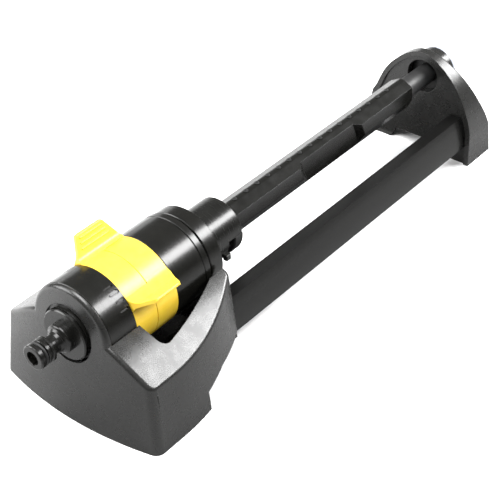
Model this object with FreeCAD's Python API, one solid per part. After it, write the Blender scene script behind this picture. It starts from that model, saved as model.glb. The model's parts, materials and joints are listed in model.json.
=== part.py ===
import FreeCAD, Part
import math
import os

from FreeCAD import Vector

# Oscillating lawn sprinkler, built as separate pieces.
# Frame: origin at the middle of the footprint on the ground, +X to the right seen from the hose end,
# +Y from the hose end to the rear foot along the swing axis, +Z up. Millimetres.

# --- swing axis and stations along it -------------------------------------------------------------
AXIS_Z = 69.5               # height of the swing axis above the ground
HOSE_TIP_Y = -241.8         # free end of the hose spigot
FLANGE_Y = -214.0           # front face of the spigot's flange disc
FLANGE_BACK_Y = -208.2
LOBE_BACK_Y = -204.3        # back of the housing's round lobe, where the drum starts
RINGS_FRONT_Y = -180.5      # two limit rings side by side
RINGS_SPLIT_Y = -160.7
RING_GAP = 0.3              # half the seam between the two limit rings
RINGS_REAR_Y = -140.9
CAP_SEAM_Y = -112.2         # seam between the motor drum and its rear cap
DRUM_REAR_Y = -106.6
COLLAR_FRONT_Y = -104.9
COLLAR_REAR_Y = -92.7
TUBE_COLLAR_REAR_Y = -58.3
TUBE_FRONT_Y = -100.0
TUBE_REAR_Y = 170.4
FOOT_FRONT_Y = 199.5

CENTRING_Y = 3.4            # added to every station, so that the origin is in the middle of the length

# --- radii about the swing axis -------------------------------------------------------------------
LOBE_R = 34.0
MARK_DEPTH = 1.2            # engraved marks in the drum
DRUM_SEAT_R = 34.3
DRUM_R = 33.2
RING_R = 33.4
RING_BORE_R = 30.7
SLEEVE_R = 30.4             # fixed sleeve that the limit rings turn on
SLEEVE_BORE_R = 28.7
CAPSULE_R = 28.2            # motor capsule inside that sleeve
CAPSULE_BORE_R = 26.4
COLLAR_R = 32.1
TUBE_COLLAR_R = 21.0
JOURNAL_R = 9.0             # spigot tube that the motor capsule swings on
JOURNAL_GAP = 0.06
WATER_BORE_R = 5.05

# --- flags of the limit rings ---------------------------------------------------------------------
FLAG_TIP_R = 52.0
FLAG_THICKNESS = 2.8
FLAG_SLANT_FRONT = 7.4
FLAG_SLANT_REAR = 9.0
FLAG_CORNER_R = 3.5
FLAG_LIFT = 0.45            # gap between a flag and the neighbouring ring
LEFT_FLAG_ANGLE = 118.5     # counted from +X towards +Z
RIGHT_FLAG_ANGLE = 28.5

# --- front housing --------------------------------------------------------------------------------
HOUSING_FRONT_Y = -219.6    # at ground level, on the centre line
HOUSING_REAR_Y = -97.5
HOUSING_HALF_WIDTH = 72.8   # at ground level
HOUSING_LOFT_TOP = 110.0
FRONT_DRAFT = 0.117         # lean of the front wall, mm per mm of height
SIDE_DRAFT = 0.11
FRONT_BOW_R = 284.0
SIDE_BOW_R = 170.0
SIDE_BOW_Y = -185.0         # the side walls start to curve inwards here
FRONT_CORNER_R = 7.0
REAR_CORNER_R = 6.0
WALL = 2.8
RIM_R = 3.6
WING_EDGE_X = 30.5          # the wings' upper surface, relative to the swing axis
WING_EDGE_H = 4.6
WING_BEND_X = 50.0
WING_BEND_H = -6.6
WING_SLOPE = 0.69
STEP_Y = -154.5             # the underside rises behind here
STEP_Z = 14.5
TAIL_Y = -132.0
TAIL_Z = 20.0

# --- side rail ------------------------------------------------------------------------------------
RAIL_X0 = 29.0
RAIL_TOP_X = 39.2
RAIL_BULGE_X = 43.7
RAIL_X1 = 45.0
RAIL_Z0 = 17.0
RAIL_BULGE_Z = 29.5
RAIL_Z1 = 42.8
RAIL_WALL = 1.8
RAIL_FRONT_Y = -130.0
RAIL_REAR_Y = 212.0
RAIL_FIT = 0.15
RAIL_SCREW_X = 36.5
RAIL_SCREW_FRONT_Y = -112.0
RAIL_SCREW_REAR_Y = 206.8

# --- spray tube -----------------------------------------------------------------------------------
NOZZLES = 16
NOZZLE_PITCH = 12.67
NOZZLE_FIRST_Y = -42.0
NOZZLE_R = 1.9
RIDGE_H = 11.3              # tube section, relative to the swing axis
SHOULDER_X = 10.3
SHOULDER_H = 6.9
FLANK_H = -5.0
KEEL_X = 6.0
KEEL_H = -13.0
CHANNEL_R = 4.6
FLAT_X = 6.4                # upright flat on the right-hand side of the tube's middle
FLAT_FRONT_Y = 33.3
FLAT_REAR_Y = 94.4
FLAT_SLANT = 22.0           # lean of the flat's ends, degrees
SPINDLE_R = 8.5

# --- rear foot ------------------------------------------------------------------------------------
FOOT_TOP_Z = 92.5
FOOT_HALF_WIDTH = 50.0
FOOT_BACK_TOP_Y = 206.5
FOOT_BACK_MID_Y = 231.0
FOOT_BACK_MID_Z = 27.0
FOOT_BACK_FLOOR_Y = 235.0
FOOT_WALL = 2.6
FOOT_RIM = 4.6
FOOT_RECESS = 1.8
ARCH_HALF_FLOOR = 29.4
ARCH_HALF_TOP = 24.4
ARCH_Z = 10.6
SOCKET_R = 14.6
SOCKET_WALL = 2.6
SOCKET_BACK_Y = 222.0

# --- gear train -----------------------------------------------------------------------------------
MODULE = 0.6
WHEEL_TEETH = 36
PINION_TEETH = 12
GEAR_DISTANCE = 14.5        # a little over the nominal 14.4, for play
PRESSURE_ANGLE = math.radians(25.0)
TOOTH_PLAY = 0.05
AXLE_R = 1.5
GEAR_BORE_R = 1.56
WHEEL_WIDTH = 3.0
PINION_WIDTH = 4.7
STAGE_Y = (-177.0, -171.7, -166.9, -162.1, -157.3)   # mesh planes, from the fixed gear to the turbine pinion


# --- helpers --------------------------------------------------------------------------------------
def box(x0, x1, y0, y1, z0, z1):
    return Part.makeBox(x1 - x0, y1 - y0, z1 - z0, Vector(x0, y0, z0))


def rod(radius, y0, y1, x=0.0, z=AXIS_Z):
    """Cylinder along +Y."""
    return Part.makeCylinder(radius, y1 - y0, Vector(x, y0, z), Vector(0, 1, 0))


def ring(outer, inner, y0, y1, x=0.0, z=AXIS_Z):
    return rod(outer, y0, y1, x, z).cut(rod(inner, y0 - 1, y1 + 1, x, z))


def post(radius, x, y, z0, z1):
    """Cylinder along +Z."""
    return Part.makeCylinder(radius, z1 - z0, Vector(x, y, z0), Vector(0, 0, 1))


def turned(profile):
    """Solid of revolution about the swing axis from a closed list of (y, radius) points."""
    points = [Vector(r, y, AXIS_Z) for y, r in profile]
    face = Part.Face(Part.makePolygon(points + points[:1]))
    return face.revolve(Vector(0, 0, AXIS_Z), Vector(0, 1, 0), 360)


def prism_y(points, y0, y1):
    """Polygon of (x, z) points swept along +Y."""
    corners = [Vector(x, y0, z) for x, z in points]
    return Part.Face(Part.makePolygon(corners + corners[:1])).extrude(Vector(0, y1 - y0, 0))


def prism_x(points, x0, x1):
    """Polygon of (y, z) points swept along +X."""
    corners = [Vector(x0, y, z) for y, z in points]
    return Part.Face(Part.makePolygon(corners + corners[:1])).extrude(Vector(x1 - x0, 0, 0))


def prism_z(points, z0, z1):
    """Polygon of (x, y) points swept along +Z."""
    corners = [Vector(x, y, z0) for x, y in points]
    return Part.Face(Part.makePolygon(corners + corners[:1])).extrude(Vector(0, 0, z1 - z0))


def mirrored(shape):
    return shape.mirror(Vector(0, 0, 0), Vector(1, 0, 0))


def both_sides(shape):
    return shape.fuse(mirrored(shape))


def joined(shapes):
    result = shapes[0].multiFuse(shapes[1:]) if len(shapes) > 1 else shapes[0]
    return result.removeSplitter()


def about_axis(shape, degrees):
    """Turned about the swing axis; positive lifts +X towards +Z."""
    copy = shape.copy()
    copy.rotate(Vector(0, 0, AXIS_Z), Vector(0, 1, 0), -degrees)
    return copy


def polar(radius, degrees):
    return radius * math.cos(math.radians(degrees)), radius * math.sin(math.radians(degrees))


def arc(a, b, c):
    return Part.Arc(a, b, c).toShape()


def line(a, b):
    return Part.LineSegment(a, b).toShape()


def screw(x, y, z, length, head_r=3.0, shank_r=1.5, down=False):
    """Pan-head screw along Z, its head's flat side at z, its shank running up (or down)."""
    sign = -1.0 if down else 1.0
    axis = Vector(0, 0, sign)
    head = Part.makeCylinder(head_r, 1.8, Vector(x, y, z), axis * -1)
    shank = Part.makeCylinder(shank_r, length, Vector(x, y, z), axis)
    slot = Part.makeBox(head_r * 1.5, 0.7, 0.9)
    slot.translate(Vector(-head_r * 0.75, -0.35, -0.45))
    cross = slot.copy()
    cross.rotate(Vector(0, 0, 0), Vector(0, 0, 1), 90)
    cutter = slot.fuse(cross)
    cutter.translate(Vector(x, y, z - sign * 1.55))
    return head.fuse(shank).cut(cutter)


# --- front housing --------------------------------------------------------------------------------
def housing_outline(z, inset):
    """Closed plan outline of the front housing at height z, moved inwards by inset."""
    front = HOUSING_FRONT_Y + FRONT_DRAFT * z + inset
    half = HOUSING_HALF_WIDTH - SIDE_DRAFT * z - inset
    rear = HOUSING_REAR_Y - inset
    corner = front + FRONT_BOW_R - math.sqrt(FRONT_BOW_R ** 2 - half ** 2)

    def side_x(y):
        return half - SIDE_BOW_R + math.sqrt(SIDE_BOW_R ** 2 - (y - SIDE_BOW_Y) ** 2)

    middle = (SIDE_BOW_Y + rear) / 2
    right = [Vector(half, corner, z), Vector(half, SIDE_BOW_Y, z),
             Vector(side_x(middle), middle, z), Vector(side_x(rear), rear, z)]
    left = [Vector(-p.x, p.y, p.z) for p in right]
    return Part.Wire([arc(left[0], Vector(0, front, z), right[0]), line(right[0], right[1]),
                      arc(right[1], right[2], right[3]), line(right[3], left[3]),
                      arc(left[3], left[2], left[1]), line(left[1], left[0])])


def housing_block(inset, corner_r, rear_r):
    """Drafted block inside the plan outline, its upright corners rounded."""
    block = Part.makeLoft([housing_outline(0, inset), housing_outline(HOUSING_LOFT_TOP, inset)], True, True)
    front, rear = [], []
    for edge in block.Edges:
        if edge.BoundBox.ZLength < HOUSING_LOFT_TOP - 1:
            continue
        if edge.BoundBox.YMin < SIDE_BOW_Y - 5:
            front.append(edge)
        elif edge.BoundBox.YMax > HOUSING_REAR_Y - inset - 1:
            rear.append(edge)
    block = block.makeFillet(corner_r, front)
    rear = [e for e in block.Edges if e.BoundBox.ZLength > HOUSING_LOFT_TOP - 1
            and e.BoundBox.YMin > HOUSING_REAR_Y - inset - 1]
    return block.makeFillet(rear_r, rear)


def wing_section(drop, y0, y1):
    """Everything under the wings' upper surface, lowered by drop: a smooth crown with sloping sides."""
    reach = HOUSING_HALF_WIDTH + 15
    base = AXIS_Z - drop
    low = base + WING_BEND_H - WING_SLOPE * (reach - WING_BEND_X)
    tilt = math.atan(WING_SLOPE)
    normal = (math.sin(tilt), math.cos(tilt))
    dx, dz = WING_EDGE_X - WING_BEND_X, WING_EDGE_H - WING_BEND_H
    side_r = -(dx * dx + dz * dz) / (2 * (dx * normal[0] + dz * normal[1]))
    centre = (WING_BEND_X - side_r * normal[0], WING_BEND_H - side_r * normal[1])
    lean = math.atan2(WING_EDGE_X - centre[0], WING_EDGE_H - centre[1])
    middle = (lean + tilt) / 2
    crown = WING_EDGE_H + WING_EDGE_X * math.tan(lean / 2)

    def at(x, h):
        return Vector(x, y0, base + h)

    knee = (centre[0] + side_r * math.sin(middle), centre[1] + side_r * math.cos(middle))
    edges = [line(Vector(-reach, y0, -5), Vector(reach, y0, -5)),
             line(Vector(reach, y0, -5), Vector(reach, y0, low)),
             line(Vector(reach, y0, low), at(WING_BEND_X, WING_BEND_H)),
             arc(at(WING_BEND_X, WING_BEND_H), at(*knee), at(WING_EDGE_X, WING_EDGE_H)),
             arc(at(WING_EDGE_X, WING_EDGE_H), at(0, crown), at(-WING_EDGE_X, WING_EDGE_H)),
             arc(at(-WING_EDGE_X, WING_EDGE_H), at(-knee[0], knee[1]), at(-WING_BEND_X, WING_BEND_H)),
             line(at(-WING_BEND_X, WING_BEND_H), Vector(-reach, y0, low)),
             line(Vector(-reach, y0, low), Vector(-reach, y0, -5))]
    return Part.Face(Part.Wire(edges)).extrude(Vector(0, y1 - y0, 0))


def well_cut():
    """U-shaped opening round the rings and the motor drum, through the upper skin."""
    z0, z1 = AXIS_Z - 30, AXIS_Z + 20
    rear = HOUSING_REAR_Y + 10
    start = Vector(0, -180.2, z0)
    inner = Vector(36.0, -179.0, z0)
    corner_a = Vector(46.0, -177.3, z0)
    corner_m = Vector(50.6, -174.6, z0)
    corner_b = Vector(51.8, -169.5, z0)
    side_m = Vector(46.2, -141.5, z0)
    side_b = Vector(37.2, -113.0, z0)
    tail = Vector(35.8, rear, z0)
    end = Vector(0, rear, z0)
    edges = [line(start, inner), line(inner, corner_a), arc(corner_a, corner_m, corner_b),
             arc(corner_b, side_m, side_b), line(side_b, tail), line(tail, end), line(end, start)]
    return both_sides(Part.Face(Part.Wire(edges)).extrude(Vector(0, 0, z1 - z0)))


def underside_cut():
    """The rear of the housing stands clear of the ground."""
    return prism_x([(STEP_Y, -5), (STEP_Y, STEP_Z), (TAIL_Y, TAIL_Z), (-70, TAIL_Z), (-70, -5)], -90, 90)


def rail_outline(grow, y):
    """Closed rail section at station y, grown outwards by grow."""
    a = Vector(RAIL_X0 - grow, y, RAIL_Z0 - grow)
    b = Vector(RAIL_X0 - grow, y, RAIL_Z1 + grow)
    c = Vector(RAIL_TOP_X + grow * 0.6, y, RAIL_Z1 + grow)
    m = Vector(RAIL_BULGE_X + grow, y, RAIL_BULGE_Z)
    d = Vector(RAIL_X1 + grow, y, RAIL_Z0 - grow)
    return Part.Wire([line(a, b), line(b, c), arc(c, m, d), line(d, a)])


def rail_bar(grow, y0, y1):
    return Part.Face(rail_outline(grow, y0)).extrude(Vector(0, y1 - y0, 0))


COVER_SCREWS = [(sx * x, y) for x, y in ((54.0, -199.0), (52.0, -166.0)) for sx in (1, -1)]
CRADLE_SCREWS = [(sx * 20.0, -192.5) for sx in (1, -1)]


def housing_skin():
    """Outside of the housing: drafted block under the wings' surface, plus the round lobe, rims rounded."""
    outer = housing_block(0.0, FRONT_CORNER_R, REAR_CORNER_R)
    wings = outer.common(wing_section(0.0, -260, -60))
    rim = []
    for edge in wings.Edges:
        size = edge.BoundBox
        crease = abs(size.XMax) < WING_BEND_X + 1 and size.XLength < 0.1
        if size.ZMin > AXIS_Z - 40 and not crease:
            rim.append(edge)
    wings = wings.makeFillet(RIM_R, rim)
    lobe = outer.common(rod(LOBE_R, -260, LOBE_BACK_Y))
    rim = [e for e in lobe.Edges if e.BoundBox.YMax < LOBE_BACK_Y - 0.5]
    lobe = lobe.makeFillet(RIM_R, rim)
    return wings.fuse(lobe)


def front_housing():
    shell = housing_skin()
    cavity = housing_block(WALL, FRONT_CORNER_R - WALL, REAR_CORNER_R - WALL)
    cavity = cavity.common(wing_section(3.2, -260, -60))
    floor = prism_x([(-240, -5), (-240, AXIS_Z + 40), (-60, AXIS_Z + 40), (-60, TAIL_Z + 2.4),
                     (TAIL_Y, TAIL_Z + 2.4), (STEP_Y - WALL, STEP_Z + 2.4), (STEP_Y - WALL, -5)], -90, 90)
    shell = shell.cut(cavity.common(floor))
    shell = shell.cut(rod(DRUM_SEAT_R, LOBE_BACK_Y, -60)).cut(well_cut())
    shell = shell.cut(underside_cut())
    inside = housing_block(0.5, FRONT_CORNER_R - 0.5, REAR_CORNER_R - 0.5).common(wing_section(1.0, -260, -60))
    backing = rod(30.0, FLANGE_BACK_Y, LOBE_BACK_Y)
    cradle = ring(DRUM_SEAT_R + 2.4, DRUM_SEAT_R, LOBE_BACK_Y, -181.5).common(box(-60, 60, -260, -100, 0, AXIS_Z + 2))
    web = box(-34, 34, LOBE_BACK_Y, LOBE_BACK_Y + 2.2, 8, AXIS_Z - 20).cut(rod(DRUM_SEAT_R, -260, -60))
    socket = rail_bar(RAIL_FIT + 2.2, RAIL_FRONT_Y - 2.2, HOUSING_REAR_Y - 0.5)
    extras = [backing, cradle, web, socket]
    for x, y in COVER_SCREWS:
        extras.append(post(4.0, x, y, 6.6, AXIS_Z))
    for x, y in CRADLE_SCREWS:
        extras.append(post(3.6, x, y, 24.0, AXIS_Z - 25))
    added = joined(extras).common(inside).cut(rod(DRUM_SEAT_R, LOBE_BACK_Y, -60)).cut(well_cut())
    shell = shell.fuse(added)
    shell = shell.cut(rod(21.2, -260, FLANGE_BACK_Y)).cut(rod(JOURNAL_R + 0.3, -260, -190))
    shell = shell.cut(rail_bar(RAIL_FIT, RAIL_FRONT_Y, -60))
    for x, y in COVER_SCREWS:
        shell = shell.cut(post(1.5, x, y, -1, 20))
    for x, y in CRADLE_SCREWS:
        shell = shell.cut(post(1.7, x, y, 10, AXIS_Z))
    return shell.cut(post(1.5, RAIL_SCREW_X, RAIL_SCREW_FRONT_Y, 0, 30))


def base_cover():
    """Plate that closes the housing underneath, held up off the ground."""
    inside = housing_block(WALL + 0.4, FRONT_CORNER_R - WALL, REAR_CORNER_R - WALL)
    plate = box(-90, 90, -240, STEP_Y - WALL - 0.4, 4.0, 6.4).common(inside)
    for x, y in COVER_SCREWS:
        plate = plate.cut(post(1.7, x, y, -5, 30)).cut(post(3.3, x, y, -5, 5.0))
    return plate


def cover_screws():
    return Part.makeCompound([screw(x, y, 5.0, 12.0, 3.0, 1.45) for x, y in COVER_SCREWS])


# --- inlet ----------------------------------------------------------------------------------------
def inlet_spigot():
    """Click-fit hose spigot, flange disc and the journal tube behind it, in one moulding."""
    tip, base = HOSE_TIP_Y, FLANGE_Y
    body = turned([
        (tip, WATER_BORE_R), (tip, 8.0), (tip + 0.3, 8.7), (tip + 0.9, 9.1), (tip + 3.6, 9.1), (tip + 4.2, 8.6),
        (tip + 4.2, 6.9), (tip + 7.0, 6.9), (tip + 7.0, 8.6), (tip + 7.4, 9.1), (tip + 8.6, 9.1), (tip + 9.2, 8.2),
        (tip + 10.0, 8.2), (tip + 10.6, 9.2), (tip + 12.3, 9.3), (tip + 12.9, 8.7), (tip + 13.4, 6.9),
        (tip + 16.4, 6.6), (tip + 18.6, 6.8), (tip + 20.6, 7.6), (tip + 21.9, 8.8), (tip + 22.6, 9.9),
        (tip + 23.1, 10.4), (tip + 23.9, 10.6), (base, 10.6), (base, 18.4), (base + 0.8, 19.2), (base + 2.0, 19.2),
        (base + 2.0, 18.0), (base + 3.0, 18.0), (base + 3.0, 19.2), (FLANGE_BACK_Y, 19.2),
        (FLANGE_BACK_Y, JOURNAL_R), (-187.0, JOURNAL_R), (-187.0, WATER_BORE_R)])
    notch = box(-0.8, 0.8, tip - 1, tip + 4.5, AXIS_Z - WATER_BORE_R - 0.9, AXIS_Z - WATER_BORE_R + 1)
    return body.cut(notch)


def spigot_o_ring():
    return Part.makeTorus(7.95, 1.02, Vector(0, HOSE_TIP_Y + 5.6, AXIS_Z), Vector(0, 1, 0))


def inlet_filter():
    """Perforated disc with a rim, pushed into the spigot's bore."""
    y0 = HOSE_TIP_Y + 8.0
    disc = ring(4.98, 4.2, y0, y0 + 3.0).fuse(rod(4.6, y0 + 2.2, y0 + 3.0))
    for k in range(7):
        angle = k * math.pi / 3
        reach = 0.0 if k == 6 else 2.6
        disc = disc.cut(rod(0.75, y0, y0 + 4, reach * math.cos(angle), AXIS_Z + reach * math.sin(angle)))
    return disc


def journal_seal():
    return Part.makeTorus(JOURNAL_R + 1.02, 1.0, Vector(0, -196.0, AXIS_Z), Vector(0, 1, 0))


# --- drum front cover -----------------------------------------------------------------------------
def mark_line(angle, y0, length, width):
    block = box(-width / 2, width / 2, y0, y0 + length, AXIS_Z + LOBE_R - MARK_DEPTH, AXIS_Z + LOBE_R + 2)
    return about_axis(block, angle - 90)


def mark_oblong(angle, y0, length, width, stroke):
    z0, z1 = AXIS_Z + LOBE_R - MARK_DEPTH, AXIS_Z + LOBE_R + 2
    r = width / 2
    solid = box(-r, r, y0 + r, y0 + length - r, z0, z1)
    solid = solid.fuse([post(r, 0, y0 + r, z0, z1), post(r, 0, y0 + length - r, z0, z1)])
    core_r = r - stroke
    core = box(-core_r, core_r, y0 + r, y0 + length - r, z0, z1)
    core = core.fuse([post(core_r, 0, y0 + r, z0, z1), post(core_r, 0, y0 + length - r, z0, z1)])
    return about_axis(solid.cut(core), angle - 90)


def drum_front_cover():
    """Fixed drum with the setting marks, and behind it the sleeve that carries the limit rings."""
    front = LOBE_BACK_Y + 0.3
    body = turned([
        (front, 11.0), (front, LOBE_R - 0.3), (front + 0.3, LOBE_R), (RINGS_FRONT_Y - 0.6, LOBE_R),
        (RINGS_FRONT_Y - 0.3, LOBE_R - 0.3), (RINGS_FRONT_Y - 0.3, SLEEVE_R), (RINGS_REAR_Y - 0.2, SLEEVE_R),
        (RINGS_REAR_Y - 0.2, SLEEVE_BORE_R), (RINGS_FRONT_Y - 3, SLEEVE_BORE_R),
        (RINGS_FRONT_Y - 3, LOBE_R - 2.4), (front + 2.4, LOBE_R - 2.4), (front + 2.4, 11.0)])
    for sign in (1, -1):
        middle = 90.0
        body = body.cut(mark_line(middle - sign * 29, -190.0, 7.5, 1.0))
        body = body.cut(mark_oblong(middle - sign * 37.5, -190.0, 8.6, 3.2, 0.9))
        body = body.cut(mark_oblong(middle - sign * 48, -189.0, 7.6, 2.8, 0.8))
        body = body.cut(mark_line(middle - sign * 58.5, -189.0, 7.0, 1.2))
    for x, y in CRADLE_SCREWS:
        body = body.cut(post(1.35, x, y, 0, AXIS_Z))
    return body


def cradle_screws():
    return Part.makeCompound([screw(x, y, 24.0, 17.0, 3.0, 1.3) for x, y in CRADLE_SCREWS])


# --- limit rings ----------------------------------------------------------------------------------
def flag_section(flare_right, flare_left, y0, y1):
    """Upright blade on the ring's surface with a concave flare on either side, swept along +Y."""
    half = FLAG_THICKNESS / 2

    def at(x, r):
        return Vector(x, y0, AXIS_Z + r)

    def foot(angle):
        return RING_R * math.sin(math.radians(angle)), RING_R * math.cos(math.radians(angle))

    right, left = foot(flare_right), foot(-flare_left)
    rise_right, rise_left = RING_R + right[0] * 0.9, RING_R - left[0] * 0.75
    mid_right = ((half + right[0]) / 2 - 0.8, (rise_right + right[1]) / 2 - 0.8)
    mid_left = ((-half + left[0]) / 2 + 1.4, (rise_left + left[1]) / 2 - 1.4)
    tip = FLAG_TIP_R - half
    edges = [arc(at(*right), at(*mid_right), at(half, rise_right)),
             line(at(half, rise_right), at(half, tip)),
             arc(at(half, tip), at(0, FLAG_TIP_R), at(-half, tip)),
             line(at(-half, tip), at(-half, rise_left)),
             arc(at(-half, rise_left), at(*mid_left), at(*left)),
             line(at(*left), at(left[0], RING_BORE_R - 5)),
             line(at(left[0], RING_BORE_R - 5), at(right[0], RING_BORE_R - 5)),
             line(at(right[0], RING_BORE_R - 5), at(*right))]
    return Part.Face(Part.Wire(edges)).extrude(Vector(0, y1 - y0, 0))


def flag_outline(y0, y1):
    """Trapezium with rounded tip corners, seen square on to the blade."""
    low, root, tip = AXIS_Z + RING_BORE_R - 8, AXIS_Z + RING_R + 1.5, AXIS_Z + FLAG_TIP_R
    points = [(y0, low), (y0, root), (y0 + FLAG_SLANT_FRONT, tip), (y1 - FLAG_SLANT_REAR, tip), (y1, root), (y1, low)]
    solid = prism_x(points, -20, 20)
    corners = [e for e in solid.Edges if e.BoundBox.XLength > 30 and e.BoundBox.ZMin > root + 5]
    return solid.makeFillet(FLAG_CORNER_R, corners)


def flag(angle, flare_right, flare_left):
    blade = flag_section(flare_right, flare_left, RINGS_FRONT_Y, RINGS_REAR_Y)
    blade = blade.common(flag_outline(RINGS_FRONT_Y, RINGS_REAR_Y))
    ribs = []
    for k in range(3):
        r = FLAG_TIP_R - 3.4 - 3.5 * k
        y0 = RINGS_FRONT_Y + FLAG_SLANT_FRONT + 1.6 - 1.1 * k
        y1 = RINGS_REAR_Y - FLAG_SLANT_REAR - 1.6 + 1.3 * k
        ribs.append(rod(0.75, y0, y1, FLAG_THICKNESS / 2, AXIS_Z + r))
    return about_axis(joined([blade] + ribs), angle - 90)


def limit_ring(y0, y1, flag_angle, flare_right, flare_left, other_y0, other_y1):
    """Ring with a flag that also reaches over the neighbouring ring, clear of it."""
    blade = flag(flag_angle, flare_right, flare_left)
    blade = blade.cut(rod(RING_R + FLAG_LIFT, other_y0, other_y1))
    blade = blade.cut(rod(RING_BORE_R, RINGS_FRONT_Y - 5, RINGS_REAR_Y + 5))
    return joined([ring(RING_R, RING_BORE_R, y0, y1), blade])


def limit_ring_front():
    return limit_ring(RINGS_FRONT_Y, RINGS_SPLIT_Y - RING_GAP, LEFT_FLAG_ANGLE, 9.0, 16.0,
                      RINGS_SPLIT_Y - RING_GAP, RINGS_REAR_Y + 5)


def limit_ring_rear():
    return limit_ring(RINGS_SPLIT_Y + RING_GAP, RINGS_REAR_Y, RIGHT_FLAG_ANGLE, 9.0, 18.0,
                      RINGS_FRONT_Y - 5, RINGS_SPLIT_Y + RING_GAP)


# --- motor capsule --------------------------------------------------------------------------------
def motor_housing():
    """Capsule that swings with the tube: narrow under the rings, drum-sized behind them."""
    neck = JOURNAL_R + JOURNAL_GAP
    front = -199.6
    return turned([
        (front, neck), (front, CAPSULE_R), (RINGS_REAR_Y + 0.5, CAPSULE_R), (RINGS_REAR_Y + 0.5, DRUM_R - 0.4),
        (RINGS_REAR_Y + 0.9, DRUM_R), (CAP_SEAM_Y - 0.3, DRUM_R), (CAP_SEAM_Y, DRUM_R - 0.4),
        (CAP_SEAM_Y, DRUM_R - 2.6), (RINGS_REAR_Y + 3.2, DRUM_R - 2.6), (RINGS_REAR_Y + 3.2, CAPSULE_BORE_R),
        (-194.6, CAPSULE_BORE_R), (-194.6, 12.3), (-194.8, 12.3), (-194.8, JOURNAL_R + 2.05),
        (-197.2, JOURNAL_R + 2.05), (-197.2, neck)])


def seal_retainer():
    """Washer that keeps the journal seal in its seat."""
    return ring(12.2, JOURNAL_R + 0.25, -194.75, -193.4)


def motor_rear_cap():
    front = CAP_SEAM_Y + 0.35
    return turned([
        (front, 12.0), (front, DRUM_R - 0.35), (front + 0.35, DRUM_R), (DRUM_REAR_Y - 0.4, DRUM_R),
        (DRUM_REAR_Y, DRUM_R - 0.4), (DRUM_REAR_Y, 28.4), (COLLAR_FRONT_Y, 28.4), (COLLAR_FRONT_Y, 27.0),
        (DRUM_REAR_Y - 2.0, 27.0), (DRUM_REAR_Y - 2.0, 15.3), (COLLAR_FRONT_Y, 15.3), (COLLAR_FRONT_Y, 12.0)])


def front_gear_plate():
    plate = ring(CAPSULE_BORE_R - 0.05, 12.5, -181.6, -179.6)
    plate = plate.fuse(box(-3, 3, -181.6, -179.6, AXIS_Z + 10, AXIS_Z + 20).cut(rod(9.6, -190, -170)))
    return plate.cut(rod(1.2, -190, -170, 0, AXIS_Z + GEAR_DISTANCE))


def rear_gear_plate():
    plate = ring(CAPSULE_BORE_R - 0.05, GEAR_BORE_R, -156.6, -154.8)
    for k in range(6):
        x, z = polar(17.5, 30 + 60 * k)
        plate = plate.cut(rod(4.2, -160, -150, x, AXIS_Z + z))
    return plate.cut(rod(1.2, -160, -150, 0, AXIS_Z + GEAR_DISTANCE))


def side_axle():
    return rod(1.18, -181.4, -155.0, 0, AXIS_Z + GEAR_DISTANCE)


def jet_plate():
    """Stator that throws the water at the turbine from one side or the other."""
    plate = ring(CAPSULE_BORE_R - 0.05, GEAR_BORE_R, -151.0, -149.0)
    for k in range(4):
        x, z = polar(15.5, 45 + 90 * k)
        slot = Part.makeBox(2.2, 6.0, 6.0)
        slot.translate(Vector(-1.1, -3.0, -3.0))
        slot.rotate(Vector(0, 0, 0), Vector(0, 0, 1), 35 if k % 2 else -35)
        slot.rotate(Vector(0, 0, 0), Vector(0, 1, 0), -(45 + 90 * k))
        slot.translate(Vector(x, -150.0, AXIS_Z + z))
        plate = plate.cut(slot)
    pin = rod(1.0, -154.6, -151.0, 0, AXIS_Z - 9.0)
    return plate.fuse(pin)


def tooth_angle(radius, teeth):
    """Half the tooth's angle at a radius, on an involute flank."""
    pitch = MODULE * teeth / 2
    base = pitch * math.cos(PRESSURE_ANGLE)

    def involute(a):
        return math.tan(a) - a

    here = math.acos(min(1.0, base / max(radius, base)))
    return math.pi / (2 * teeth) - TOOTH_PLAY / pitch + involute(PRESSURE_ANGLE) - involute(here)


def gear(teeth, y0, y1, x, z, phase):
    """Spur gear along +Y with involute teeth, one tooth centred at the angle phase."""
    pitch = MODULE * teeth / 2
    root, tip = pitch - 1.1 * MODULE, pitch + 0.8 * MODULE
    radii = [root, max(root, pitch * math.cos(PRESSURE_ANGLE)), pitch, (pitch + tip) / 2, tip]
    points = []
    for k in range(teeth):
        middle = phase + 2 * math.pi * k / teeth
        for r in radii:
            a = middle - tooth_angle(r, teeth)
            points.append((x + r * math.cos(a), z + r * math.sin(a)))
        for r in reversed(radii):
            a = middle + tooth_angle(r, teeth)
            points.append((x + r * math.cos(a), z + r * math.sin(a)))
    unique = [p for i, p in enumerate(points) if math.dist(p, points[i - 1]) > 1e-6]
    return prism_y(unique, y0, y1)


UP = math.pi / 2            # direction from the main axis to the side axle
HALF_TOOTH = math.pi / PINION_TEETH


def fixed_gear():
    """Gear held by the spigot's journal; the motor capsule walks round it."""
    y0 = STAGE_Y[0]
    wheel = gear(WHEEL_TEETH, y0, y0 + WHEEL_WIDTH, 0, AXIS_Z, UP)
    neck = ring(8.4, JOURNAL_R - 3.7, -187.0, y0)
    cup = ring(10.6, JOURNAL_R + 0.02, -191.5, -187.0).fuse(ring(10.6, JOURNAL_R - 3.7, -187.0, -185.4))
    return joined([wheel, neck, cup]).cut(rod(JOURNAL_R - 3.7, -187.0, -170))


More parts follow.
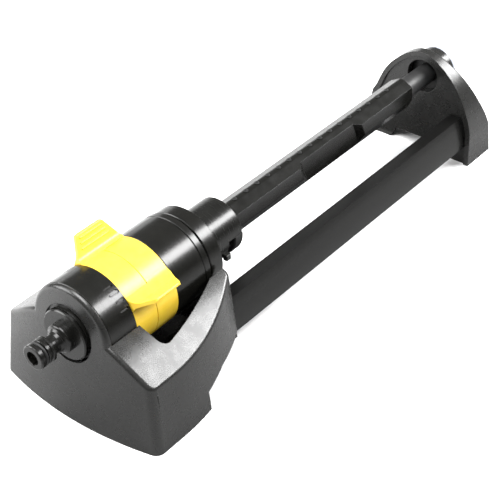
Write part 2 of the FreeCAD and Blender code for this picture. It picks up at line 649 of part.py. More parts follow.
def compound_gear(wheel_y, pinion_y, side):
    """Wheel and pinion in one piece, on the side axle or on the main shaft."""
    z = AXIS_Z + (GEAR_DISTANCE if side else 0.0)
    bore = 1.26 if side else GEAR_BORE_R
    wheel_phase = UP + math.pi if side else UP
    pinion_phase = UP + HALF_TOOTH + (math.pi if side else 0.0)
    wheel = gear(WHEEL_TEETH, wheel_y, wheel_y + WHEEL_WIDTH, 0, z, wheel_phase)
    pinion = gear(PINION_TEETH, pinion_y, wheel_y, 0, z, pinion_phase)
    return joined([wheel, pinion]).cut(rod(bore, -190, -150, 0, z))


def turbine_pinion():
    y0 = STAGE_Y[3]
    pinion = gear(PINION_TEETH, y0 - 0.3, y0 + WHEEL_WIDTH + 0.6, 0, AXIS_Z, UP + HALF_TOOTH)
    return pinion.cut(rod(AXLE_R, -170, -150))


def turbine_shaft():
    return rod(AXLE_R, -174.0, -132.0)


def turbine_wheel():
    """Water wheel with straight vanes between a hub and a thin rear disc."""
    hub = rod(4.5, -147.6, -137.2)
    disc = rod(21.0, -138.4, -137.2)
    vanes = []
    for k in range(12):
        vane = box(-0.6, 0.6, -147.0, -138.4, AXIS_Z + 4.2, AXIS_Z + 21.0)
        vanes.append(about_axis(vane, 30 * k))
    return joined([hub, disc] + vanes).cut(rod(AXLE_R, -160, -120))


def turbine_bearing_plate():
    plate = ring(DRUM_R - 2.65, GEAR_BORE_R, -135.4, -133.4)
    for k in range(6):
        x, z = polar(15.0, 60 * k)
        plate = plate.cut(rod(4.6, -140, -130, x, AXIS_Z + z))
    return plate


def reverse_lever():
    """Rocking gate that opens one jet or the other."""
    z = AXIS_Z - 9.0
    hub = ring(2.6, 1.06, -153.9, -151.6, 0, z)
    arms = box(-17.0, 17.0, -153.6, -152.2, z - 1.6, z + 1.6).cut(rod(2.0, -160, -150, 0, z))
    tail = box(-1.4, 1.4, -153.6, -152.2, z - 12.0, z - 2.0)
    pads = [rod(3.6, -153.6, -152.2, sx * 15.5, z) for sx in (1, -1)]
    return joined([hub, arms, tail] + pads).cut(rod(1.06, -160, -150, 0, z))


def reverse_spring():
    """Bowed leaf that snaps the lever over its middle."""
    z = AXIS_Z - 22.4
    y0, y1 = -153.5, -152.3
    a, b, c = Vector(-7.0, y0, z - 1.0), Vector(0, y0, z + 0.9), Vector(7.0, y0, z - 1.0)
    d, e, f = Vector(7.0, y0, z - 1.4), Vector(0, y0, z + 0.5), Vector(-7.0, y0, z - 1.4)
    wire = Part.Wire([arc(a, b, c), line(c, d), arc(d, e, f), line(f, a)])
    return Part.Face(wire).extrude(Vector(0, y1 - y0, 0))


def lever_stop():
    """Bridge on the jet plate that holds the leaf spring's ends."""
    ends = [box(sx * 8.4 - 1.2, sx * 8.4 + 1.2, -153.6, -151.0, AXIS_Z - 25.0, AXIS_Z - 22.4) for sx in (1, -1)]
    return Part.makeCompound([e.common(rod(CAPSULE_BORE_R - 0.1, -160, -140)) for e in ends])


# --- collars --------------------------------------------------------------------------------------
def rear_collar():
    front, rear = COLLAR_FRONT_Y + 0.05, COLLAR_REAR_Y
    return turned([
        (front, 16.6), (front, COLLAR_R - 0.5), (front + 0.5, COLLAR_R), (rear - 0.8, COLLAR_R),
        (rear, COLLAR_R - 0.8), (rear, COLLAR_R - 3.0), (front + 3.0, COLLAR_R - 3.0), (front + 3.0, 16.6)])


def tube_collar():
    front, rear = COLLAR_FRONT_Y + 3.05, TUBE_COLLAR_REAR_Y
    body = turned([
        (front, 16.6), (front, TUBE_COLLAR_R + 3.0), (front + 2.0, TUBE_COLLAR_R + 3.0), (front + 2.0, TUBE_COLLAR_R),
        (rear - 1.0, TUBE_COLLAR_R), (rear, TUBE_COLLAR_R - 1.0), (rear, 17.6), (front + 4, 17.6), (front + 4, 16.6)])
    return body.cut(box(0, 45, -73.6, rear + 1, AXIS_Z - 15.5, AXIS_Z + 1.0))


def collar_lock():
    """Quarter disc that fills the back of the tube collar's cut-out."""
    rear = TUBE_COLLAR_REAR_Y - 0.3
    disc = ring(TUBE_COLLAR_R + 0.5, 17.7, rear - 8.4, rear)
    edges = [e for e in disc.Edges if e.BoundBox.XLength > 2 * TUBE_COLLAR_R]
    disc = disc.makeFillet(0.9, edges)
    return disc.common(box(0.3, 45, rear - 20, rear + 1, AXIS_Z - 15.2, AXIS_Z + 0.8))


def collar_latch():
    """Push latch beside the tube collar."""
    stem = box(21.3, 31.6, -90.6, -88.2, AXIS_Z + 1.2, AXIS_Z + 4.4)
    button = box(30.6, 34.4, -91.2, -86.8, AXIS_Z + 0.4, AXIS_Z + 5.2)
    edges = [e for e in button.Edges if e.BoundBox.XMin > 34.3]
    return stem.fuse(button.makeFillet(0.8, edges))


def tube_o_ring():
    return Part.makeTorus(15.74, 0.83, Vector(0, -96.0, AXIS_Z), Vector(0, 1, 0))


# --- spray tube -----------------------------------------------------------------------------------
def tube_section(y0, y1):
    """Six-sided section with a rounded ridge."""
    def at(x, h):
        return Vector(x, y0, AXIS_Z + h)

    edges = [line(at(KEEL_X, KEEL_H), at(SHOULDER_X, FLANK_H)), line(at(SHOULDER_X, FLANK_H), at(SHOULDER_X, SHOULDER_H)),
             line(at(SHOULDER_X, SHOULDER_H), at(2.6, RIDGE_H - 0.5)),
             arc(at(2.6, RIDGE_H - 0.5), at(0, RIDGE_H), at(-2.6, RIDGE_H - 0.5)),
             line(at(-2.6, RIDGE_H - 0.5), at(-SHOULDER_X, SHOULDER_H)),
             line(at(-SHOULDER_X, SHOULDER_H), at(-SHOULDER_X, FLANK_H)), line(at(-SHOULDER_X, FLANK_H), at(-KEEL_X, KEEL_H)),
             line(at(-KEEL_X, KEEL_H), at(KEEL_X, KEEL_H))]
    return Part.Face(Part.Wire(edges)).extrude(Vector(0, y1 - y0, 0))


def side_flat():
    """Cutter for the flat on the tube's right-hand side; both of its ends run out obliquely."""
    depth, run_out = 6.0, 9.0
    plan = [(FLAT_X, FLAT_FRONT_Y), (FLAT_X, FLAT_REAR_Y), (FLAT_X + depth, FLAT_REAR_Y + run_out),
            (FLAT_X + depth, FLAT_FRONT_Y - run_out)]
    cutter = prism_z(plan, AXIS_Z - 30, AXIS_Z + 30)
    middle = Vector(0, (FLAT_FRONT_Y + FLAT_REAR_Y) / 2, AXIS_Z)
    return cutter.rotate(middle, Vector(1, 0, 0), FLAT_SLANT)


def nozzle_stations():
    return [NOZZLE_FIRST_Y + NOZZLE_PITCH * k for k in range(NOZZLES)]


def spray_tube():
    round_end = rod(16.4, TUBE_FRONT_Y, -66.0)
    lug = rod(17.3, -72.0, -64.0)
    body = joined([round_end, lug, tube_section(-66.0, TUBE_REAR_Y)])
    body = body.cut(side_flat())
    body = body.cut(ring(20, 14.9, -97.0, -95.0))
    body = body.cut(rod(CHANNEL_R, TUBE_FRONT_Y - 1, TUBE_REAR_Y + 1))
    for y in nozzle_stations():
        body = body.cut(post(1.25, 0, y, AXIS_Z + 3, AXIS_Z + 20))
    return body


def spray_nozzles():
    """Rubber nozzles, each a stem in the tube's wall and a ringed dome on the ridge."""
    solids = []
    for y in nozzle_stations():
        stem = post(1.22, 0, y, AXIS_Z + CHANNEL_R - 1.0, AXIS_Z + RIDGE_H)
        collar = post(NOZZLE_R, 0, y, AXIS_Z + RIDGE_H - 0.02, AXIS_Z + RIDGE_H + 0.55)
        tip = Part.makeCone(1.35, 0.95, 0.75, Vector(0, y, AXIS_Z + RIDGE_H + 0.5), Vector(0, 0, 1))
        hole = post(0.45, 0, y, AXIS_Z, AXIS_Z + 20)
        solids.append(joined([stem, collar, tip]).cut(hole))
    return Part.makeCompound(solids)


def tube_end_plug():
    """Plug in the tube's rear end with the round spindle that turns in the rear foot."""
    return joined([rod(CHANNEL_R - 0.02, TUBE_REAR_Y - 12, TUBE_REAR_Y), rod(SPINDLE_R + 2.2, TUBE_REAR_Y, TUBE_REAR_Y + 1.6),
                   rod(SPINDLE_R, TUBE_REAR_Y + 1.6, 215.0)])


# --- rear foot ------------------------------------------------------------------------------------
def foot_outline(inset, y):
    """Shield outline of the rear foot at station y, moved inwards by inset."""
    half = FOOT_HALF_WIDTH - inset
    top = FOOT_TOP_Z - inset
    shape = [(50.0, 26.0), (45.8, 46.0), (38.5, 62.0), (28.0, 76.4), (15.0, 87.2)]
    right = []
    for x, z in shape:
        right.append(Vector(x * half / FOOT_HALF_WIDTH, y, z - inset * (z - 26.0) / (FOOT_TOP_Z - 26.0)))
    points = right + [Vector(0, y, top)] + [Vector(-p.x, y, p.z) for p in reversed(right)]
    curve = Part.BSplineCurve()
    curve.interpolate(points, InitialTangent=Vector(0, 0, 1), FinalTangent=Vector(0, 0, -1))
    low = -5.0 if inset else 0.0
    a, b = Vector(half, y, low), Vector(-half, y, low)
    return Part.Wire([line(a, right[0]), curve.toShape(), line(points[-1], b), line(b, a)])


def foot_block(inset, y0, y1):
    return Part.Face(foot_outline(inset, y0)).extrude(Vector(0, y1 - y0, 0))


def foot_profile(back):
    """Side profile of the foot: upright front, back leaning forwards; back moves it to the front."""
    return prism_x([(FOOT_FRONT_Y - 1, -6), (FOOT_BACK_FLOOR_Y - back, -6), (FOOT_BACK_FLOOR_Y - back, 0),
                    (FOOT_BACK_MID_Y - back, FOOT_BACK_MID_Z), (FOOT_BACK_TOP_Y - back, FOOT_TOP_Z + 3),
                    (FOOT_FRONT_Y - 1, FOOT_TOP_Z + 3)], -80, 80)


FOOT_SCREWS = [(sx * 34.0, 50.0) for sx in (1, -1)]


def rear_foot():
    outer = foot_block(0.0, FOOT_FRONT_Y, 245).common(foot_profile(0.0))
    rim = [e for e in outer.Edges if e.BoundBox.YMin > FOOT_FRONT_Y + 1 and e.BoundBox.ZMax > 20]
    try:
        outer = outer.makeFillet(2.2, rim)
    except Exception as error:
        print("foot fillet failed", error, len(rim))
    shell = outer.cut(foot_block(FOOT_RIM, FOOT_FRONT_Y - 2, FOOT_FRONT_Y + FOOT_RECESS))
    panel_back = FOOT_FRONT_Y + FOOT_RECESS + FOOT_WALL
    shell = shell.cut(foot_block(FOOT_WALL, panel_back, 260))
    inside = foot_block(0.6, FOOT_FRONT_Y + FOOT_RECESS, 260).common(foot_profile(1.2))
    boss = rod(SOCKET_R + SOCKET_WALL, FOOT_FRONT_Y + FOOT_RECESS, SOCKET_BACK_Y)
    socket = rail_bar(RAIL_FIT + 2.2, FOOT_FRONT_Y + 0.4, RAIL_REAR_Y + 2.2)
    posts = [rod(3.4, FOOT_FRONT_Y + 3, 228.0, x, z) for x, z in FOOT_SCREWS]
    added = joined([socket] + posts).common(inside).common(foot_profile(3.1))
    shell = shell.fuse(joined([added, boss]))
    shell = shell.cut(rod(SOCKET_R, FOOT_FRONT_Y - 5, SOCKET_BACK_Y + 5))
    shell = shell.fuse(ring(SOCKET_R + 0.5, 10.5, 217.2, 219.2))
    shell = shell.cut(rail_bar(RAIL_FIT, FOOT_FRONT_Y - 5, RAIL_REAR_Y))
    arch = prism_y([(-ARCH_HALF_FLOOR, -8), (-ARCH_HALF_FLOOR, 0), (-ARCH_HALF_TOP, ARCH_Z), (ARCH_HALF_TOP, ARCH_Z),
                    (ARCH_HALF_FLOOR, 0), (ARCH_HALF_FLOOR, -8)], FOOT_FRONT_Y - 5, 250)
    shell = shell.cut(arch)
    for x, z in FOOT_SCREWS:
        shell = shell.cut(rod(1.3, 205, 250, x, z))
    shell = shell.cut(post(1.5, RAIL_SCREW_X, RAIL_SCREW_REAR_Y, 0, 30))
    shell = shell.cut(box(-90, 90, 150, 300, -20, 0))
    return shell


def rear_foot_cover():
    """Plate that closes the foot's back, following its slope."""
    slab = foot_profile(0.6).cut(foot_profile(3.0))
    plate = foot_block(FOOT_WALL + 0.35, 200, 260).common(slab).common(box(-80, 80, 206, 260, ARCH_Z + 1.0, 120))
    plate = plate.cut(rod(SOCKET_R + SOCKET_WALL + 0.3, 190, 260))
    for x, z in FOOT_SCREWS:
        plate = plate.cut(rod(1.6, 200, 260, x, z))
    return plate


def foot_screws():
    solids = []
    slope = (FOOT_BACK_MID_Y - FOOT_BACK_TOP_Y) / (FOOT_TOP_Z + 3 - FOOT_BACK_MID_Z)
    for x, z in FOOT_SCREWS:
        face = FOOT_BACK_MID_Y + 0.4 - slope * (z - FOOT_BACK_MID_Z)
        solids.append(rod(2.9, face, face + 1.6, x, z).fuse(rod(1.25, face - 14, face, x, z)))
    return Part.makeCompound(solids)


def rear_bearing_bush():
    return ring(SOCKET_R - 0.05, SPINDLE_R + 0.06, 209.0, 217.1)


def rear_end_cap():
    """Round cap pressed into the back of the foot's bearing boss."""
    return turned([(219.3, 0), (219.3, SOCKET_R - 0.05), (SOCKET_BACK_Y + 0.05, SOCKET_R - 0.05),
                   (SOCKET_BACK_Y + 0.05, SOCKET_R + SOCKET_WALL), (SOCKET_BACK_Y + 2.4, SOCKET_R + SOCKET_WALL),
                   (SOCKET_BACK_Y + 4.0, SOCKET_R + 0.6), (SOCKET_BACK_Y + 4.0, 0)])


# --- side rail ------------------------------------------------------------------------------------
def side_rail():
    bar = rail_bar(0.0, RAIL_FRONT_Y + 0.4, RAIL_REAR_Y - 0.3)
    bar = bar.cut(rail_bar(-RAIL_WALL, RAIL_FRONT_Y - 5, RAIL_REAR_Y + 5))
    for y in (RAIL_SCREW_FRONT_Y, RAIL_SCREW_REAR_Y):
        bar = bar.cut(post(1.3, RAIL_SCREW_X, y, 0, RAIL_Z0 + 5))
    return bar


def rail_screws():
    return Part.makeCompound([screw(RAIL_SCREW_X, y, 14.6, 7.0, 2.9, 1.25)
                              for y in (RAIL_SCREW_FRONT_Y, RAIL_SCREW_REAR_Y)])


# --- all pieces -----------------------------------------------------------------------------------
PIECES = {
    "front_housing": front_housing,
    "base_cover": base_cover,
    "cover_screws": cover_screws,
    "drum_front_cover": drum_front_cover,
    "cradle_screws": cradle_screws,
    "inlet_spigot": inlet_spigot,
    "spigot_o_ring": spigot_o_ring,
    "inlet_filter": inlet_filter,
    "journal_seal": journal_seal,
    "fixed_gear": fixed_gear,
    "limit_ring_front": limit_ring_front,
    "limit_ring_rear": limit_ring_rear,
    "motor_housing": motor_housing,
    "seal_retainer": seal_retainer,
    "motor_rear_cap": motor_rear_cap,
    "front_gear_plate": front_gear_plate,
    "rear_gear_plate": rear_gear_plate,
    "side_axle": side_axle,
    "jet_plate": jet_plate,
    "first_gear": lambda: compound_gear(STAGE_Y[3], STAGE_Y[2], True),
    "second_gear": lambda: compound_gear(STAGE_Y[2], STAGE_Y[1], False),
    "third_gear": lambda: compound_gear(STAGE_Y[1], STAGE_Y[0], True),
    "turbine_pinion": turbine_pinion,
    "turbine_shaft": turbine_shaft,
    "turbine_wheel": turbine_wheel,
    "turbine_bearing_plate": turbine_bearing_plate,
    "reverse_lever": reverse_lever,
    "reverse_spring": reverse_spring,
    "lever_stop": lever_stop,
    "rear_collar": rear_collar,
    "tube_collar": tube_collar,
    "collar_lock": collar_lock,
    "collar_latch": collar_latch,
    "tube_o_ring": tube_o_ring,
    "spray_tube": spray_tube,
    "spray_nozzles": spray_nozzles,
    "tube_end_plug": tube_end_plug,
    "side_rail": side_rail,
    "rail_screws": rail_screws,
    "rear_foot": rear_foot,
    "rear_foot_cover": rear_foot_cover,
    "foot_screws": foot_screws,
    "rear_bearing_bush": rear_bearing_bush,
    "rear_end_cap": rear_end_cap,
}

os.makedirs("parts", exist_ok=True)
for name, build in PIECES.items():
    shape = build()
    shape.translate(Vector(0, CENTRING_Y, 0))
    shape.exportStep("parts/%s.step" % name)
    bb = shape.BoundBox
    print("%-22s solids %d valid %s volume %9.1f  x %.1f %.1f y %.1f %.1f z %.1f %.1f" % (
        name, len(shape.Solids), shape.isValid(), shape.Volume, bb.XMin, bb.XMax, bb.YMin, bb.YMax, bb.ZMin, bb.ZMax))
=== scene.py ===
"""Oscillating lawn sprinkler: materials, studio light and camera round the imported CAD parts."""
import json
import math

import bpy
from mathutils import Matrix, Vector

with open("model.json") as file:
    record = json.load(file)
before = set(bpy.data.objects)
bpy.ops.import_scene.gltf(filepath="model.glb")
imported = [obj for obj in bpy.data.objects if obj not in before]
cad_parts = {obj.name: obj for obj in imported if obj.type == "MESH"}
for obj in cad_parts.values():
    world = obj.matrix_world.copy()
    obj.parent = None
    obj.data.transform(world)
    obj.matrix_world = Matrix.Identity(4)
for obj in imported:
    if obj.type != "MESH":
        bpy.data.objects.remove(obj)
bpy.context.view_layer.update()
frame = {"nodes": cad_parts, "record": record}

MM = 0.001                        # one millimetre in scene units

# --- camera ---------------------------------------------------------------------------------------
CAMERA_AZIMUTH = 40.9             # degrees, from looking along +Y towards the right-hand side
CAMERA_ELEVATION = 37.0
CAMERA_ROLL = -2.436
CAMERA_PLACE = (0.5231, -0.6279, 0.6281)
LENS = 96.15                      # mm on a 36 mm sensor

# --- studio ---------------------------------------------------------------------------------------
FLOOR_RADIUS = 6.0
FLOOR_SEEN = 0.95                 # floor's paleness to the camera
# painted shade on the floor, seen only in reflections and by the lights: pale on the left and
# darker to the right, standing in for shade: metres along X, paleness
FLOOR_PAINTED_SHADE = [(-0.30, 0.95), (0.04, 0.33), (0.20, 0.36), (0.45, 0.14)]
# painted shade: a black sheet under the spray tube, hidden from the camera and casting no shadow,
# stands in for the shade the tube's underside mirrors: from and to along X, then along Y
PAINTED_SHADE_AREA = (-0.05, 0.027, -0.06, 0.20)
PAINTED_SHADE_LIFT = 0.4                 # mm above the floor
SKY_LOW = 0.08                    # brightness of the room near the horizon and overhead
SKY_HIGH = 0.38
SKY_RISE = (0.05, 0.60)           # height of the view direction where the one turns into the other
# name, direction from the object, distance, width, height, watts
SOFTBOXES = [
    ("key", (0.49, 0.60, 0.63), 1.7, 0.54, 1.1, 56.0),
    ("left_panel", (-0.84, 0.50, 0.17), 1.8, 0.45, 1.8, 4.5),
    ("front_left", (-0.65, -0.60, 0.47), 1.8, 1.0, 1.0, 30.0),
    ("overhead", (-0.05, -0.30, 0.95), 1.8, 1.1, 1.2, 55.0),
]


# --- material tools -------------------------------------------------------------------------------
class Graph:
    """A material's node tree, built up node by node."""

    def __init__(self, name):
        self.material = bpy.data.materials.new(name)
        self.material.use_nodes = True
        self.nodes = self.material.node_tree.nodes
        self.links = self.material.node_tree.links
        self.nodes.clear()
        self.output = self.add("ShaderNodeOutputMaterial")
        self.shader = self.add("ShaderNodeBsdfPrincipled")
        self.join(self.shader, "BSDF", self.output, "Surface")

    def add(self, kind, **values):
        node = self.nodes.new(kind)
        for key, value in values.items():
            if key in node.inputs:
                node.inputs[key].default_value = value
            else:
                setattr(node, key, value)
        return node

    def join(self, source, out, target, into):
        self.links.new(source.outputs[out], target.inputs[into])

    def place(self, stretch=(1, 1, 1)):
        """Position on the object in metres, stretched."""
        where = self.add("ShaderNodeTexCoord")
        mapping = self.add("ShaderNodeMapping")
        mapping.inputs["Scale"].default_value = stretch
        self.join(where, "Object", mapping, "Vector")
        return mapping

    def noise(self, size_mm, detail=2.0, stretch=(1, 1, 1), roughness=0.5):
        """Noise whose grains are about size_mm across."""
        scale = 1 / (size_mm * MM)
        noise = self.add("ShaderNodeTexNoise", Scale=scale, Detail=detail, Roughness=roughness)
        self.join(self.place(stretch), "Vector", noise, "Vector")
        return noise

    def spread(self, source, low, high, start=0.3, end=0.7):
        """Maps a 0 to 1 pattern on to the range low to high."""
        remap = self.add("ShaderNodeMapRange")
        remap.inputs["From Min"].default_value = start
        remap.inputs["From Max"].default_value = end
        remap.inputs["To Min"].default_value = low
        remap.inputs["To Max"].default_value = high
        self.join(source, 0, remap, "Value")
        return remap

    def tint(self, source, dark, light):
        ramp = self.add("ShaderNodeValToRGB")
        ramp.color_ramp.elements[0].position = 0.3
        ramp.color_ramp.elements[0].color = (*dark, 1)
        ramp.color_ramp.elements[1].position = 0.7
        ramp.color_ramp.elements[1].color = (*light, 1)
        self.join(source, 0, ramp, "Fac")
        self.join(ramp, "Color", self.shader, "Base Color")

    def gloss(self, source, low, high, start=0.3, end=0.7):
        """Roughness that wanders between low and high with a pattern."""
        self.join(self.spread(source, low, high, start, end), "Result", self.shader, "Roughness")

    def bumps(self, layers, edge_mm=0.0):
        """Stacks bump layers, given as pattern and depth in mm, over edges rounded by edge_mm."""
        last = None
        if edge_mm:
            last = self.add("ShaderNodeBevel", samples=6, Radius=edge_mm * MM)
        for source, depth_mm in layers:
            bump = self.add("ShaderNodeBump", Strength=1.0, Distance=depth_mm * MM)
            self.join(source, 0, bump, "Height")
            if last:
                self.join(last, "Normal", bump, "Normal")
            last = bump
        self.join(last, "Normal", self.shader, "Normal")


def textured_plastic(name, dark, light, roughness, grain_mm, depth_mm, edge_mm):
    """Moulded plastic with an eroded grain over a wider, uneven cloud."""
    graph = Graph(name)
    grain = graph.noise(grain_mm, detail=3.0, roughness=0.6)
    cloud = graph.noise(9.0, detail=4.0)
    graph.tint(graph.noise(1.4, detail=3.0), dark, light)
    graph.gloss(cloud, roughness - 0.03, roughness + 0.05)
    graph.shader.inputs["Specular IOR Level"].default_value = 0.5
    graph.bumps([(grain, depth_mm), (cloud, depth_mm * 2)], edge_mm)
    return graph.material


def polished_plastic(name, dark, light, roughness):
    """Gloss moulding with faint turning lines round the swing axis."""
    line_mm, ripple_mm, edge_mm = 0.0012, 0.006, 0.12
    graph = Graph(name)
    lines = graph.noise(0.5, detail=2.0, stretch=(0.06, 1.0, 0.06))
    ripple = graph.noise(7.0, detail=2.0)
    graph.tint(ripple, dark, light)
    graph.gloss(lines, roughness - 0.02, roughness + 0.04)
    graph.shader.inputs["Specular IOR Level"].default_value = 0.4
    graph.bumps([(lines, line_mm), (ripple, ripple_mm)], edge_mm)
    return graph.material


def yellow_plastic(name):
    """Bright yellow moulding that glows a little from inside."""
    graph = Graph(name)
    cloud = graph.noise(6.0, detail=3.0)
    graph.tint(cloud, (0.87, 0.59, 0.045), (0.90, 0.63, 0.06))
    graph.gloss(graph.noise(1.2), 0.30, 0.40)
    graph.shader.inputs["Specular IOR Level"].default_value = 0.5
    graph.shader.inputs["Subsurface Weight"].default_value = 0.15
    graph.shader.inputs["Subsurface Radius"].default_value = (1.0, 0.55, 0.08)
    graph.shader.inputs["Subsurface Scale"].default_value = 1.2 * MM
    graph.bumps([(graph.noise(0.6), 0.006)], 0.3)
    return graph.material


def rail_plastic(name):
    """Satin black extrusion, more matt on top than on its sides; its base colour is painted shade,
    darker on top and lighter on the sides to stand in for how the light falls on them.
    """
    graph = Graph(name)
    split = graph.add("ShaderNodeSeparateXYZ")
    graph.join(graph.add("ShaderNodeNewGeometry"), "Normal", split, "Vector")
    upward = graph.add("ShaderNodeMapRange")   # 0 on the sides, 1 where the surface faces up
    upward.inputs["From Min"].default_value = 0.5
    upward.inputs["From Max"].default_value = 0.95
    graph.join(split, "Z", upward, "Value")
    # painted shade: the top is painted darker and the sides lighter, standing in for how the light
    # falls on the rail
    graph.tint(upward, (0.010, 0.010, 0.0095), (0.002, 0.002, 0.0018))
    graph.gloss(upward, 0.25, 0.45, start=0, end=1)
    graph.shader.inputs["Specular IOR Level"].default_value = 0.22
    graph.bumps([(graph.noise(0.5, detail=3.0, roughness=0.6), 0.006)])
    return graph.material


def soft_rubber(name):
    """Matt black rubber."""
    graph = Graph(name)
    graph.tint(graph.noise(2.0), (0.010, 0.010, 0.010), (0.016, 0.016, 0.016))
    graph.gloss(graph.noise(0.8), 0.45, 0.6)
    graph.bumps([(graph.noise(0.3), 0.01)], 0.15)
    return graph.material


def pale_plastic(name, dark, light, roughness):
    """Smooth light-coloured moulding; the cap's paleness made with it is a painted reflection."""
    graph = Graph(name)
    graph.tint(graph.noise(5.0, detail=3.0), dark, light)
    graph.gloss(graph.noise(1.5), roughness - 0.05, roughness + 0.05)
    graph.bumps([(graph.noise(0.5), 0.005)], 0.2)
    return graph.material


def plated_steel(name, roughness):
    """Bright metal, a little uneven in tone and gloss."""
    graph = Graph(name)
    graph.tint(graph.noise(1.5, detail=4.0), (0.50, 0.50, 0.50), (0.64, 0.63, 0.61))
    graph.shader.inputs["Metallic"].default_value = 1.0
    graph.gloss(graph.noise(0.7), roughness - 0.06, roughness + 0.08)
    graph.bumps([(graph.noise(0.25), 0.004)], 0.1)
    return graph.material


def finishes():
    """One material for each slot in the record."""
    return {
        "housing_plastic": textured_plastic(
            "charcoal_grain", (0.013, 0.013, 0.0125), (0.017, 0.017, 0.016),
            roughness=0.26, grain_mm=0.7, depth_mm=0.010, edge_mm=0.48),
        "drum_plastic": polished_plastic(
            "black_gloss", (0.005, 0.005, 0.0042), (0.007, 0.007, 0.006), roughness=0.22),
        "fitting_plastic": polished_plastic(
            "black_fitting", (0.005, 0.005, 0.0045), (0.008, 0.008, 0.007), roughness=0.24),
        "ring_plastic": yellow_plastic("limit_yellow"),
        "tube_plastic": textured_plastic(
            "black_satin_tube", (0.004, 0.004, 0.0035), (0.006, 0.006, 0.005),
            roughness=0.20, grain_mm=0.5, depth_mm=0.005, edge_mm=0.18),
        "rail_plastic": rail_plastic("black_satin_rail"),
        "nozzle_rubber": soft_rubber("nozzle_rubber_black"),
        "seal_rubber": soft_rubber("seal_rubber_black"),
        "gear_plastic": pale_plastic(
            "ivory_nylon", (0.74, 0.71, 0.62), (0.82, 0.79, 0.71), roughness=0.4),
        "inner_plastic": textured_plastic(
            "inner_black", (0.014, 0.014, 0.014), (0.02, 0.02, 0.02),
            roughness=0.5, grain_mm=0.5, depth_mm=0.01, edge_mm=0.2),
        "screw_steel": plated_steel("zinc_plate", roughness=0.32),
        "spring_steel": plated_steel("bright_steel", roughness=0.22),
        # painted reflection: the cap is coloured pale blue-grey to stand in for bright light
        # mirrored in black gloss
        "cap_plastic": pale_plastic(
            "cap_painted_reflection", (0.34, 0.36, 0.42), (0.42, 0.44, 0.50), roughness=0.35),
    }


def dress_nodes():
    """Gives each CAD node the finish of its slot in the record."""
    made = finishes()
    for part in frame["record"]["subparts"]:
        slots = frame["nodes"][part["node"]].material_slots
        for slot in slots:
            slot.material = made[part["material_slot"]]


# --- stage ----------------------------------------------------------------------------------------
def floor():
    """White to the camera; in reflections graded from left to right with painted shade, pale on the
    left and darker to the right.
    """
    bpy.ops.mesh.primitive_circle_add(vertices=96, radius=FLOOR_RADIUS, fill_type="NGON")
    disc = bpy.context.object
    disc.name = "studio_floor"
    graph = Graph("studio_white")
    where = graph.add("ShaderNodeTexCoord")
    split = graph.add("ShaderNodeSeparateXYZ")
    graph.join(where, "Object", split, "Vector")
    low, high = FLOOR_PAINTED_SHADE[0][0], FLOOR_PAINTED_SHADE[-1][0]
    # painted shade: the floor's paleness falls from left to right in what the object reflects
    ramp = graph.add("ShaderNodeValToRGB")
    tones = ramp.color_ramp.elements
    for _ in FLOOR_PAINTED_SHADE[2:]:
        tones.new(0.5)
    for stop, (x, tone) in zip(tones, FLOOR_PAINTED_SHADE):
        stop.position = (x - low) / (high - low)
        stop.color = (tone, tone, tone, 1)
    graph.join(graph.spread(split, 0.0, 1.0, low, high), "Result", ramp, "Fac")
    path = graph.add("ShaderNodeLightPath")
    mix = graph.add("ShaderNodeMixRGB")
    graph.join(path, "Is Camera Ray", mix, "Fac")
    graph.join(ramp, "Color", mix, "Color1")
    mix.inputs["Color2"].default_value = (FLOOR_SEEN, FLOOR_SEEN, FLOOR_SEEN, 1)
    graph.join(mix, "Color", graph.shader, "Base Color")
    graph.shader.inputs["Roughness"].default_value = 0.8
    graph.shader.inputs["Specular IOR Level"].default_value = 0.1
    disc.data.materials.append(graph.material)


def painted_shade_sheet():
    """Painted shade: darkens what the underside of the spray tube mirrors, standing in for the
    shade under the tube.
    """
    x0, x1, y0, y1 = PAINTED_SHADE_AREA
    middle = ((x0 + x1) / 2, (y0 + y1) / 2, PAINTED_SHADE_LIFT * MM)
    bpy.ops.mesh.primitive_plane_add(size=1, location=middle)
    sheet = bpy.context.object
    sheet.name = "under_tube_shade_sheet"
    sheet.scale = (x1 - x0, y1 - y0, 1)
    graph = Graph("under_tube_shade_black")
    # painted shade: black seen only in the tube's reflections
    graph.shader.inputs["Base Color"].default_value = (0.03, 0.03, 0.03, 1)
    graph.shader.inputs["Roughness"].default_value = 0.9
    sheet.data.materials.append(graph.material)
    sheet.visible_camera = False
    sheet.visible_shadow = False


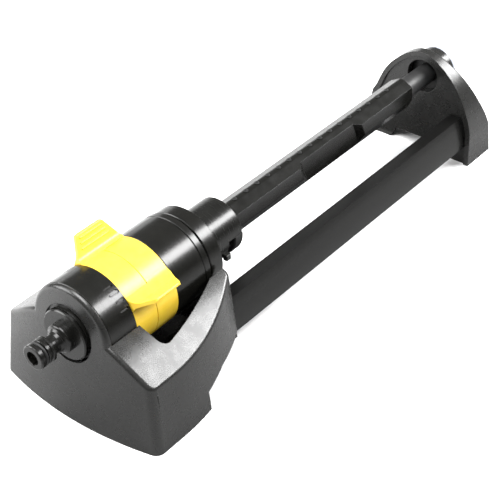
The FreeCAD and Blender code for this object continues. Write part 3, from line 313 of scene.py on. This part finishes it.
def room():
    """Surroundings that are darker towards the horizon, and plain white to the camera."""
    world = bpy.data.worlds.new("room")
    bpy.context.scene.world = world
    world.use_nodes = True
    nodes, links = world.node_tree.nodes, world.node_tree.links
    nodes.clear()
    output = nodes.new("ShaderNodeOutputWorld")
    light = nodes.new("ShaderNodeBackground")
    seen = nodes.new("ShaderNodeBackground")
    seen.inputs["Color"].default_value = (1, 1, 1, 1)
    where = nodes.new("ShaderNodeTexCoord")
    split = nodes.new("ShaderNodeSeparateXYZ")
    links.new(where.outputs["Generated"], split.inputs[0])
    rise = nodes.new("ShaderNodeMapRange")
    rise.interpolation_type = "SMOOTHSTEP"
    rise.inputs["From Min"].default_value = SKY_RISE[0]
    rise.inputs["From Max"].default_value = SKY_RISE[1]
    rise.inputs["To Min"].default_value = SKY_LOW
    rise.inputs["To Max"].default_value = SKY_HIGH
    links.new(split.outputs["Z"], rise.inputs["Value"])
    links.new(rise.outputs["Result"], light.inputs["Strength"])
    path = nodes.new("ShaderNodeLightPath")
    mix = nodes.new("ShaderNodeMixShader")
    links.new(path.outputs["Is Camera Ray"], mix.inputs["Fac"])
    links.new(light.outputs[0], mix.inputs[1])
    links.new(seen.outputs[0], mix.inputs[2])
    links.new(mix.outputs[0], output.inputs["Surface"])


def placed(axes, place):
    """The matrix that turns X, Y and Z into the three axes and moves to the place."""
    return Matrix.Translation(place) @ Matrix(axes).transposed().to_4x4()


def softbox(name, direction, distance, width, height, watts):
    """Rectangular lamp that faces the object, its height laid along the spray tube."""
    data = bpy.data.lights.new(name, "AREA")
    data.shape = "RECTANGLE"
    data.size = width
    data.size_y = height
    data.energy = watts
    lamp = bpy.data.objects.new(name, data)
    bpy.context.scene.collection.objects.link(lamp)
    away = Vector(direction).normalized()
    along = (Vector((0, 1, 0)) - away * away.y).normalized()
    across = along.cross(away)
    lamp.matrix_world = placed((across, along, away), away * distance)
    lamp.visible_camera = False


def camera():
    """Long lens from the front right, above the object."""
    azimuth, elevation = math.radians(CAMERA_AZIMUTH), math.radians(CAMERA_ELEVATION)
    roll = math.radians(CAMERA_ROLL)
    back = Vector((math.sin(azimuth) * math.cos(elevation),
                   -math.cos(azimuth) * math.cos(elevation),
                   math.sin(elevation)))
    level = Vector((math.cos(azimuth), math.sin(azimuth), 0))
    upright = back.cross(level)
    right = level * math.cos(roll) + upright * math.sin(roll)
    top = upright * math.cos(roll) - level * math.sin(roll)
    data = bpy.data.cameras.new("camera")
    data.lens = LENS
    data.sensor_width = 36.0
    data.clip_start = 0.01
    view = bpy.data.objects.new("camera", data)
    bpy.context.scene.collection.objects.link(view)
    view.matrix_world = placed((right, top, back), Vector(CAMERA_PLACE))
    bpy.context.scene.camera = view


dress_nodes()
floor()
painted_shade_sheet()
room()
for box in SOFTBOXES:
    softbox(*box)
camera()
bpy.context.scene.view_settings.view_transform = "Standard"
